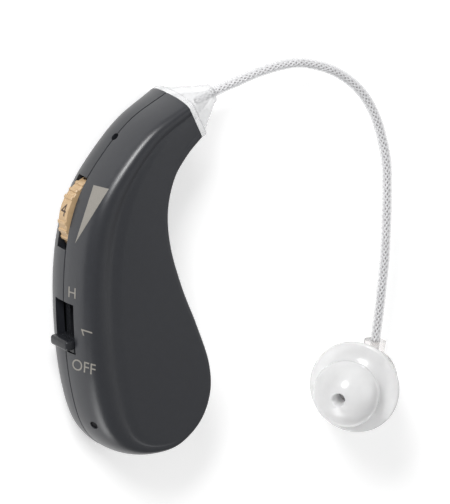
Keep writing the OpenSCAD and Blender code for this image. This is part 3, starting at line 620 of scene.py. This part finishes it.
def case_half(far, lip, gap):
    """Half of the case, standing on the seam plane."""
    shoulder = path[:, 2] + far * path[:, 4]
    ramp = np.maximum(NO_RAMP * BODY_T, path[:, 3] - far * path[:, 4])
    fade = np.clip((ramp / BODY_T - NO_RAMP) / (FULL_RAMP - NO_RAMP), 0, 1)
    up_the_case = (path[:, 1] - VALLEY_FADE_Y) / VALLEY_FADE_L
    drop = VALLEY_DEPTH * fade * np.clip(
        VALLEY_LEAST + (1 - VALLEY_LEAST) * up_the_case, VALLEY_LEAST, 1)
    all_round = np.ones(len(path))

    def over_shoulder(angle, base, height, depth):
        share = 1 - cos(angle) ** (2 / SHOULDER_POWER)
        return row(base + shoulder * share, height * sin(angle) ** (2 / SHOULDER_POWER), depth)

    valley = shoulder + CREST_W + ramp * VALLEY_FLOOR * fade
    rows = [row(shoulder + CREST_W + ramp, HALF_T)]
    for t in (0.75, 0.5, 0.25):
        wave = (1 - cos(pi * t)) / 2
        rows.append(row(valley + (shoulder + CREST_W + ramp - valley) * t,
                        HALF_T - drop * (1 - wave)))
    rows.append(row(valley, HALF_T - drop))
    crest = shoulder + CREST_W * (1 - NO_RAMP)
    for t in (0.66, 0.33):
        wave = (1 - cos(pi * t)) / 2
        rows.append(row(crest + (valley - crest) * t, HALF_T - drop * wave))
    rows.append(row(crest, HALF_T))
    rows += [over_shoulder(pi / 2 * k / SHOULDER_ROWS, 0, HALF_T, 0)
             for k in range(SHOULDER_ROWS, 0, -1)]
    rows += [row(all_round * SEAM_CHAMFER / 4, SEAM_CHAMFER),
             row(all_round * SEAM_CHAMFER, SEAM_SLIT),
             row(all_round * WALL / 3, SEAM_SLIT, WALL / 3)]
    lip_in = WALL / 2 + gap
    rows += [row(all_round * lip_in, SEAM_SLIT, lip_in), row(all_round * lip_in, lip, lip_in),
             row(all_round * WALL, lip, WALL)]
    rows += [over_shoulder(pi / 2 * k / 6, WALL, HALF_T - PANEL_T, WALL) for k in range(1, 7)]
    return rows


near = loft("near", case_half(0, -LIP_H, LIP_GAP))
near.data.transform(at(0, 0, HALF_T))
far = loft("far", case_half(1, LIP_H + LIP_GAP, 0))
far.data.transform(at(0, 0, HALF_T) @ Matrix.Diagonal((1, 1, -1, 1)))
tidy_normals(far)
print("near half", len(near.data.polygons), "faces, far half", len(far.data.polygons))

# %% [markdown]
# The openings are cut with tools at the places that the CAD nodes give: the volume wheel's slot in
# the far half, the switch's slot across the seam, and the holes for the microphone, the indicator,
# the charging plug, the nozzle's spigot and the screws.


# %% Places on the spine
def spine_x(y):
    """Where the seam's outline crosses a height on the spine."""
    rows = edge[:len(edge) // 2]
    k = next(i for i in range(len(rows) - 1) if rows[i + 1][1] <= y)
    (ax, ay), (bx, by) = rows[k], rows[k + 1]
    return ax + (bx - ax) * (y - ay) / (by - ay)


def spine_dir(y):
    v = np.array((spine_x(y + WALL) - spine_x(y - WALL), 2 * WALL))
    return v / np.linalg.norm(v)


wheel_low, wheel_high = (Vector(c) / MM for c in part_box("volume_wheel"))
wheel_c = (wheel_low + wheel_high) / 2
WHEEL_R, WHEEL_T = 5.9, wheel_high.z - wheel_low.z
wheel_frame = at(wheel_c.x, wheel_c.y, wheel_low.z)
slot_y = -0.059 * BODY_L
slot_dir = spine_dir(slot_y)
switch_frame = at(spine_x(slot_y), slot_y, HALF_T) @ Matrix.Rotation(
    atan2(slot_dir[1], slot_dir[0]) - pi / 2, 4, "Z")
mic_y = 0.452 * BODY_L
mic_dir = spine_dir(mic_y)
mic_in = Vector((mic_dir[1], -mic_dir[0], 0))
mic_frame = frame_at((spine_x(mic_y), mic_y, HALF_T), mic_in)
jack_low, jack_high = (Vector(c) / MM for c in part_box("charge_jack"))
jack_c = (jack_low + jack_high) / 2
end_c = Vector((*((edge[0] + edge[-1]) / 2), HALF_T))
end_n = Vector((*end_out, 0))
lens_lean, lens_heading = radians(70), radians(208)
lens_out = Vector((sin(lens_lean) * cos(lens_heading), sin(lens_lean) * sin(lens_heading),
                   cos(lens_lean)))
LENS_RISE = 3
lens_c = Vector((-0.449 * BODY_W, -0.336 * BODY_L, HALF_T + LENS_RISE))
print("wheel", [round(v, 2) for v in wheel_c], "and switch at",
      round(spine_x(slot_y), 2), round(slot_y, 2))

# %% Openings
OVER = 0.5
SLOT_L, SLOT_W, SLOT_FRONT = 7.15, 4.5, 1.1
MIC_R, LENS_R, SPIGOT_HOLE_R = 0.56, 0.6, 1.85
JACK_HALF, JACK_STEP = 1.85, 0.2
BOSS_R, HEAD_R, HEAD_DEPTH, CLEAR_R, THREAD_R = 1.5, 1.3, 0.85, 0.8, 0.72
WHEEL_GAP = 0.15
POCKET_R = WHEEL_R + 2 * WHEEL_GAP
WHEEL_SLOT_HALF, WHEEL_SLOT_SHIFT, WHEEL_SLOT_IN = 5.1, 0.2, 0.63
WHEEL_SLOT_TURN = radians(161.5)
SCREWS = [(0.251 * BODY_W, -0.311 * BODY_L), (-0.010 * BODY_W, 0.040 * BODY_L)]
through = WALL + 2 * OVER
for x, y in SCREWS:
    cut(far, round_tool(BOSS_R, HALF_T - PANEL_T / 2, at(x, y, PANEL_T / 2)), "UNION")
    cut(near, round_tool(BOSS_R, HALF_T - PANEL_T / 2, at(x, y, HALF_T)), "UNION")
for shell in (near, far):
    cut(shell, box_tool((-SLOT_FRONT, -SLOT_L / 2, -SLOT_W / 2), (through, SLOT_L / 2, SLOT_W / 2),
                        switch_frame))
    cut(shell, round_tool(MIC_R, through, mic_frame @ at(0, 0, -OVER), 32))
    cut(shell, box_tool((-JACK_HALF, -JACK_HALF, 0), (JACK_HALF, JACK_HALF, through + OVER),
                        frame_at((jack_c.x, jack_low.y - JACK_STEP - OVER, HALF_T), (0, 1, 0))))
    cut(shell, round_tool(SPIGOT_HOLE_R, through, frame_at(end_c - end_n * (WALL + OVER), end_n)))
cut(near, round_tool(LENS_R, through, frame_at(lens_c - lens_out * (WALL + OVER), lens_out), 32))
cut(near, round_tool(POCKET_R, LIP_H + OVER, at(wheel_c.x, wheel_c.y, HALF_T - LIP_H - OVER), 64))
slot_start = WHEEL_R - 3 * WALL - WHEEL_SLOT_IN
cut(far, box_tool((slot_start, WHEEL_SLOT_SHIFT - WHEEL_SLOT_HALF, -WHEEL_GAP),
                  (slot_start + 4 * WALL + WHEEL_SLOT_IN, WHEEL_SLOT_SHIFT + WHEEL_SLOT_HALF,
                   WHEEL_T + 2 * WHEEL_GAP),
                  wheel_frame @ Matrix.Rotation(WHEEL_SLOT_TURN, 4, "Z")))
cut(far, round_tool(POCKET_R, WHEEL_T + 3 * WHEEL_GAP, wheel_frame @ at(0, 0, -WHEEL_GAP), 64))
for x, y in SCREWS:
    cut(far, round_tool(HEAD_R, HEAD_DEPTH + OVER, at(x, y, -OVER)))
    cut(far, round_tool(CLEAR_R, BODY_T, at(x, y, -OVER), 32))
    cut(near, round_tool(THREAD_R, BODY_T / 2, at(x, y, HALF_T - OVER), 32))
for shell, name in ((near, "near"), (far, "far")):
    smooth(shell, 28)
    finish_piece(shell, name + "_half_skin", "case", "case_plastic", case_grey.material,
                 name + "_shell")

# %% [markdown]
# The print on the near shoulder is a wedge that says which way is louder, and the letters of the
# switch's three places. Each mark is drawn flat, in the photograph's own pixels, and then laid on the
# shell along the line of sight, a hair above the surface.

# %% Print on the shoulder
PRINT_T = 0.02
PRINT_EDGE = 1.5
near_tree = BVHTree.FromObject(near, bpy.context.evaluated_depsgraph_get())


def on_shell(px, py):
    """The point and the normal where a pixel's line of sight meets the near shell, in metres."""
    start = photo_point(px, py) * MM + toward * 0.1
    hit, normal, _, _ = near_tree.ray_cast(start, -toward)
    return hit, normal


def split_long(mesh, limit):
    """Cuts a bmesh's long edges until a flat drawing can follow a curved surface."""
    bmesh.ops.triangulate(mesh, faces=mesh.faces)
    for _ in range(8):
        long_edges = [e for e in mesh.edges if e.calc_length() > limit]
        if not long_edges:
            break
        bmesh.ops.subdivide_edges(mesh, edges=long_edges, cuts=1)
        bmesh.ops.triangulate(mesh, faces=mesh.faces)


def face_out(mesh, outward):
    """Turns a bmesh's faces towards a direction."""
    mesh.normal_update()
    if sum(f.normal.dot(outward) for f in mesh.faces) < 0:
        bmesh.ops.reverse_faces(mesh, faces=mesh.faces)


def lay_print(piece):
    """Lays a flat drawing, whose X and Y are photograph pixels, just above the near shell."""
    drawing = bmesh.new()
    drawing.from_mesh(piece.data)
    split_long(drawing, PRINT_EDGE)
    for v in drawing.verts:
        hit, normal = on_shell(v.co.x, v.co.y)
        v.co = hit + normal * PRINT_T * MM
    face_out(drawing, toward)
    drawing.to_mesh(piece.data)
    drawing.free()


def letters(text):
    """Text as a flat mesh whose box runs from 0 to 1 both ways."""
    bpy.ops.object.text_add(location=(0, 0, 0))
    piece = bpy.context.object
    piece.data.body = text
    piece.data.resolution_u = 4
    pick(piece)
    bpy.ops.object.convert(target="MESH")
    piece = bpy.context.object
    low = np.min([v.co[:2] for v in piece.data.vertices], axis=0)
    high = np.max([v.co[:2] for v in piece.data.vertices], axis=0)
    for v in piece.data.vertices:
        v.co.x = (v.co.x - low[0]) / (high[0] - low[0])
        v.co.y = (v.co.y - low[1]) / (high[1] - low[1])
    return piece


def letters_at(name, text, origin, along, upward):
    """Letters whose box has its corner at a pixel and runs along two pixel vectors."""
    piece = letters(text)
    for v in piece.data.vertices:
        v.co = (origin[0] + along[0] * v.co.x + upward[0] * v.co.y,
                origin[1] + along[1] * v.co.x + upward[1] * v.co.y, 0)
    lay_print(piece)
    finish_piece(piece, name, "case", "case_plastic", print_grey.material)


WEDGE = [(94.4, 185.5), (109.7, 189.3), (75.9, 243.5)]
wedge_mesh = bpy.data.meshes.new("wedge")
wedge_mesh.from_pydata([(x, y, 0) for x, y in WEDGE], [], [(0, 1, 2)])
wedge = bpy.data.objects.new("wedge", wedge_mesh)
bpy.context.collection.objects.link(wedge)
lay_print(wedge)
finish_piece(wedge, "volume_wedge_print", "case", "case_plastic", print_grey.material)
letters_at("switch_print_H", "H", (69.0, 296.6), (7.2, 2.0), (0.3, -10.4))
letters_at("switch_print_L", "L", (81.6, 328.4), (1.9, 6.6), (11.0, 3.4))
letters_at("switch_print_OFF", "OFF", (72.4, 368.8), (23.2, 6.4), (0.6, -11.0))

# %% [markdown]
# The volume wheel is a disc with flat lands and groups of three ribs. Its section is spun round the
# axle in many narrow steps, and then the points of its rim are drawn in everywhere except at the
# ribs. A Boolean for each rib would also work, but leaves ragged faces on a part this small.

# %% Volume wheel
LANDS, RIBS, RIB_PITCH, RIB_W, RIB_H, RIB_FLANK = 6, 3, radians(12), 0.5, 0.2, 0.12
AXLE_HOLE_R, HUB_R, HUB_DEPTH, RIM_EDGE = 0.84, 1.7, 0.5, 0.1
LAND_HEADING = radians(162.5)
RIM_STEPS = 720
rib_angles = [LAND_HEADING + (n + 0.5) * 2 * pi / LANDS + (k - 1) * RIB_PITCH
              for n in range(LANDS) for k in range(RIBS)]


def rim_radius(angle):
    gap = min(abs((angle - a + pi) % (2 * pi) - pi) for a in rib_angles) * WHEEL_R
    flank = np.clip((gap - RIB_W / 2 + RIB_FLANK / 2) / RIB_FLANK, 0, 1)
    return WHEEL_R - RIB_H * (3 * flank ** 2 - 2 * flank ** 3)


wheel = lathe("wheel", [
    (AXLE_HOLE_R, 0), (WHEEL_R - RIM_EDGE, 0), (WHEEL_R, RIM_EDGE), (WHEEL_R, WHEEL_T - RIM_EDGE),
    (WHEEL_R - RIM_EDGE, WHEEL_T), (HUB_R, WHEEL_T), (HUB_R, WHEEL_T - HUB_DEPTH),
    (AXLE_HOLE_R, WHEEL_T - HUB_DEPTH), (AXLE_HOLE_R, 0)], Matrix.Identity(4), RIM_STEPS)
for v in wheel.data.vertices:
    reach = v.co.xy.length / MM
    if reach > WHEEL_R / 2:
        share = 1 + (rim_radius(atan2(v.co.y, v.co.x)) - WHEEL_R) / reach
        v.co.x *= share
        v.co.y *= share
wheel.data.transform(wheel_frame)
smooth(wheel, 30)
finish_piece(wheel, "volume_wheel_ribbed", "volume_wheel", "wheel_plastic", wheel_beige.material,
             "volume_wheel")

# %% [markdown]
# Each land carries its number, with its top towards the nozzle. A flat digit is wrapped round the
# rim: its width runs up the wheel's thickness and its height round the rim.

# %% Numbers on the wheel
DIGIT_H, DIGIT_W, DIGIT_EDGE = 1.75, 1.15, 0.25
LAND_R = WHEEL_R - RIB_H
for digit in range(LANDS):
    heading_of = LAND_HEADING + (digit - 4) * 2 * pi / LANDS
    mark = letters(str(digit))
    mesh = bmesh.new()
    mesh.from_mesh(mark.data)
    split_long(mesh, DIGIT_EDGE)
    for v in mesh.verts:
        angle = heading_of - (v.co.y - 0.5) * DIGIT_H / LAND_R
        height = wheel_low.z + WHEEL_T / 2 + (v.co.x - 0.5) * DIGIT_W
        r = LAND_R + PRINT_T
        v.co = Vector((wheel_c.x + r * cos(angle), wheel_c.y + r * sin(angle), height)) * MM
    face_out(mesh, Vector((cos(heading_of), sin(heading_of), 0)))
    mesh.to_mesh(mark.data)
    mesh.free()
    finish_piece(mark, f"wheel_number_{digit}", "volume_wheel", "wheel_plastic",
                 digit_brown.material)

# %% [markdown]
# The switch knob is a smooth bar that stands across the slot, with a narrower step under it. Both
# are boxes with well rounded edges, joined into one piece.

# %% Switch knob
KNOB_L, KNOB_OUT = 1.9, 1.1
BAR_START, BAR_FOOT, BAR_ROUND = 0.5, 0.5, 0.42
STEP_TOP, STEP_FOOT, STEP_IN, STEP_ROUND = 0.15, 1.6, 0.12, 0.1
RUN_GAP = 0.15
knob_y = -SLOT_L / 2 + KNOB_L / 2 + RUN_GAP
across = SLOT_W / 2 - RUN_GAP
knob_low, knob_high = knob_y - KNOB_L / 2, knob_y + KNOB_L / 2
knob = box_tool((-KNOB_OUT, knob_low + BAR_START, -across), (BAR_FOOT, knob_high, across),
                switch_frame)
bevel(knob, BAR_ROUND, 5)
step = box_tool((STEP_TOP, knob_low, -across + STEP_IN),
                (STEP_FOOT, knob_high - STEP_IN, across - STEP_IN), switch_frame)
bevel(step, STEP_ROUND, 2)
pick(step)
knob.select_set(True)
bpy.context.view_layer.objects.active = knob
bpy.ops.object.join()
smooth(knob, 40)
finish_piece(knob, "switch_knob_bar", "switch_knob", "switch_plastic", switch_black.material,
             "switch_knob")

# %% [markdown]
# The clear nozzle starts as a flange with the case's own end outline, and a straight-sided cone leads
# from there to the tube's mouth, where its wall turns inwards. It is one loft: the rows blend the flat
# end's outline into a circle, and the inner rows run back to an ellipse.

# %% Nozzle
FLANGE_T, FLANGE_BEVEL = 0.9, 0.25
MOUTH_R, MOUTH_EDGE, MOUTH_DEPTH = 1.4, 0.3, 0.5
CONE_SHARE = 0.9
CONE_W, CONE_H, CONE_WALL = 0.92, 0.86, 0.75
TUBE_SEAT_R, TUBE_LEAD_R = 0.62, 0.75
SPIGOT_R, SPIGOT_L, SPIGOT_EDGE, SOUND_R = 1.8, 2.38, 0.15, 0.45
QUARTER = 14
end_w = float(np.linalg.norm(edge[-1] - edge[0]))
ends = {"spine": path[0], "hollow": path[-1]}


def end_quarter(corner, far):
    """How far the end's outline is drawn in, and its height over the seam, step by step."""
    depth = corner[2] + far * corner[4]
    return [(depth * (1 - cos(a) ** (2 / SHOULDER_POWER)), HALF_T * sin(a) ** (2 / SHOULDER_POWER))
            for a in np.linspace(0, pi / 2, QUARTER + 1)]


outline = ([(-end_w / 2 + d, h) for d, h in end_quarter(ends["spine"], 0)]
           + [(end_w / 2 - d, h) for d, h in end_quarter(ends["hollow"], 0)[::-1]]
           + [(end_w / 2 - d, -h) for d, h in end_quarter(ends["hollow"], 1)[1:]]
           + [(-end_w / 2 + d, -h) for d, h in end_quarter(ends["spine"], 1)[:0:-1]])
side_dir = Vector((*end_dir, 0))
mouth_c = Vector(ROUTE[0])
mouth_n = (Vector(ROUTE[1]) - mouth_c).normalized()
mouth_side = (side_dir - mouth_n * side_dir.dot(mouth_n)).normalized()
mouth_up = mouth_n.cross(mouth_side)
if mouth_up.z < 0:
    mouth_up = -mouth_up
turns = [atan2(h / (BODY_T * 0.5), w / (end_w * 0.5)) for w, h in outline]


def flange_row(scale, depth):
    return [end_c + end_n * depth + side_dir * (w * scale) + Vector((0, 0, h * scale))
            for w, h in outline]


def mouth_row(radius, depth):
    return [mouth_c + mouth_n * depth + mouth_side * (radius * cos(t))
            + mouth_up * (radius * sin(t)) for t in turns]


base_row = flange_row(CONE_SHARE, FLANGE_T)
nozzle_rows = [flange_row(1.0, 0.0), flange_row(1.0, FLANGE_T - FLANGE_BEVEL),
               flange_row(0.985, FLANGE_T - FLANGE_BEVEL / 3), flange_row(0.96, FLANGE_T), base_row]
tip_row = mouth_row(MOUTH_R, -MOUTH_DEPTH)
for t in (0.2, 0.4, 0.6, 0.8):
    nozzle_rows.append([a.lerp(b, t) for a, b in zip(base_row, tip_row)])
nozzle_rows += [tip_row, mouth_row(MOUTH_R - 0.08, -0.18), mouth_row(MOUTH_R - MOUTH_EDGE, 0.0),
                mouth_row(TUBE_LEAD_R, 0.0), mouth_row(TUBE_SEAT_R, -MOUTH_DEPTH)]
inner_w, inner_h = end_w * CONE_W / 2 - CONE_WALL, BODY_T * CONE_H / 2 - CONE_WALL
inner_start = [end_c + end_n * 0.4 + side_dir * (inner_w * cos(t))
               + Vector((0, 0, inner_h * sin(t))) for t in turns]
tip_inner = mouth_row(TUBE_SEAT_R, -0.8)
for t in (0.0, 0.35, 0.7, 1.0):
    nozzle_rows.append([a.lerp(b, t) for a, b in zip(tip_inner, inner_start)])
nozzle = loft("nozzle", [[tuple(p) for p in r] for r in nozzle_rows])
spigot = lathe("spigot", [
    (SOUND_R, 0), (SPIGOT_R - SPIGOT_EDGE, 0), (SPIGOT_R, SPIGOT_EDGE), (SPIGOT_R, SPIGOT_L),
    (SOUND_R, SPIGOT_L), (SOUND_R, 0)], frame_at(end_c - end_n * (SPIGOT_L + 0.02), end_n), 48)
pick(spigot)
nozzle.select_set(True)
bpy.context.view_layer.objects.active = nozzle
bpy.ops.object.join()
smooth(nozzle, 40)
finish_piece(nozzle, "nozzle_clear", "case", "clear_plastic", clear_plastic.material, "nozzle")

# %% [markdown]
# The ear tip is a soft mushroom: a front dome with a sound hole, a wide thin flange behind it, and a
# sleeve that grips the adapter's barbed stem. All of it is round, so one profile is spun about the
# tip's axis.

# %% Ear tip
TIP_C = (37.3083, -19.5447, 4.3)
TIP_LEAN, TIP_HEADING = radians(49.5), radians(173.6)
FLANGE_S = 6.5
tip_frame = (at(*TIP_C) @ Matrix.Rotation(TIP_HEADING, 4, "Z") @ Matrix.Rotation(TIP_LEAN, 4, "Y")
             @ at(0, 0, FLANGE_S))
FLANGE_R, FLANGE_EDGE = 6.35, 0.75
NECK_R, NECK_TOP, FRONT_FLARE, BACK_FLARE = 2.9, 2.5, 1.9, 1.3
DOME_R, DOME_L, DOME_WIDE, HOLE_R, HOLE_EDGE = 4.6, 7.6, 3.6, 0.85, 0.2
TIP_BORE_R, CHAMBER_L, SLEEVE_R, SLEEVE_L, SLEEVE_EDGE = 1.495, 4.6, 2.9, 5.18, 0.25
hole_turn = acos((HOLE_R + HOLE_EDGE) / DOME_R)
dome_h = (DOME_L - DOME_WIDE) / sin(hole_turn)


def arc(centre, radius, start, stop, steps):
    """Points of an arc or an ellipse, from one angle to another in degrees."""
    return [(centre[0] + radius[0] * cos(radians(a)), centre[1] + radius[1] * sin(radians(a)))
            for a in np.linspace(start, stop, steps + 1)]


brim = FLANGE_R - FLANGE_EDGE
tip_profile = (
    [(TIP_BORE_R, -SLEEVE_L), (SLEEVE_R - SLEEVE_EDGE, -SLEEVE_L),
     (SLEEVE_R, -SLEEVE_L + SLEEVE_EDGE)]
    + [(brim - (brim - SLEEVE_R) * cos(radians(a)),
        -FLANGE_EDGE - BACK_FLARE * (1 - sin(radians(a)))) for a in range(0, 91, 9)]
    + arc((FLANGE_R - FLANGE_EDGE / 2, -FLANGE_EDGE / 2), (FLANGE_EDGE / 2,) * 2, -90, 90, 10)
    + [(brim - (brim - NECK_R) * cos(radians(a)), FRONT_FLARE * (1 - sin(radians(a))))
       for a in range(90, -1, -9)]
    + [(NECK_R, NECK_TOP), (DOME_R - 0.4, NECK_TOP + 0.2), (DOME_R - 0.1, NECK_TOP + 0.36)]
    + arc((0, DOME_WIDE), (DOME_R, dome_h), 0, degrees(hole_turn), 20)
    + [(HOLE_R + 0.05, DOME_L - HOLE_EDGE * 0.6), (HOLE_R, DOME_L - HOLE_EDGE * 1.2),
       (HOLE_R, CHAMBER_L + HOLE_EDGE), (TIP_BORE_R, CHAMBER_L), (TIP_BORE_R, -SLEEVE_L)])
ear_tip = lathe("ear_tip", tip_profile, tip_frame, 128)
smooth(ear_tip, 40)
finish_piece(ear_tip, "ear_tip_silicone", "ear_tip", "silicone", silicone.material, "ear_tip")

# %% [markdown]
# A plain white floor and three soft lamps. A dark satin case is drawn by what it reflects, so one
# lamp stands over its shoulder, beyond the nozzle, one low beyond its tail, and a wide one fills in
# from its hollow side. The floor gives a little light of its own towards the camera, and keeps the
# soft shadows.

# %% Floor
FLOOR_GLOW = 0.37
bpy.ops.mesh.primitive_plane_add(size=6, location=(0, 0, -0.05 * MM))
floor = bpy.context.object
floor.name = "floor"
floor_paint = Finish("floor_white", (0.9, 0.9, 0.9), 0.9)
rays = floor_paint.tree.nodes.new("ShaderNodeLightPath")
seen = Value(floor_paint, rays.outputs["Is Camera Ray"]) + Value(floor_paint, rays.outputs[
    "Is Transmission Ray"]) + Value(floor_paint, rays.outputs["Is Glossy Ray"])
floor_paint.shader.inputs["Emission Color"].default_value = (1, 1, 1, 1)
floor_paint.vary("Emission Strength", seen * FLOOR_GLOW)
floor.data.materials.append(floor_paint.material)

# %% World and lamps
world = bpy.data.worlds.new("studio")
bpy.context.scene.world = world
world.use_nodes = True
background = world.node_tree.nodes["Background"]
background.inputs["Color"].default_value = (1, 1, 1, 1)
background.inputs["Strength"].default_value = 0.36


def soft_lamp(name, place, target, size, energy):
    """An area lamp in metres that looks at a target."""
    bpy.ops.object.light_add(type="AREA", location=place)
    lamp = bpy.context.object
    lamp.name = name
    lamp.data.shape = "RECTANGLE"
    lamp.data.size, lamp.data.size_y = size
    lamp.data.energy = energy
    lamp.rotation_euler = (Vector(target) - Vector(place)).to_track_quat("-Z", "Y").to_euler()
    return lamp


case_middle = Vector((0, 0.002, 0.005))
for name, offset, size, energy in (
        ("top", (-0.20, 0.27, 0.22), (0.16, 0.12), 1.35),
        ("tail", (-0.22, -0.30, 0.04), (0.2, 0.2), 0.6),
        ("fill", (0.35, 0.05, 0.35), (0.3, 0.3), 0.5)):
    soft_lamp(name, case_middle + Vector(offset), case_middle, size, energy)
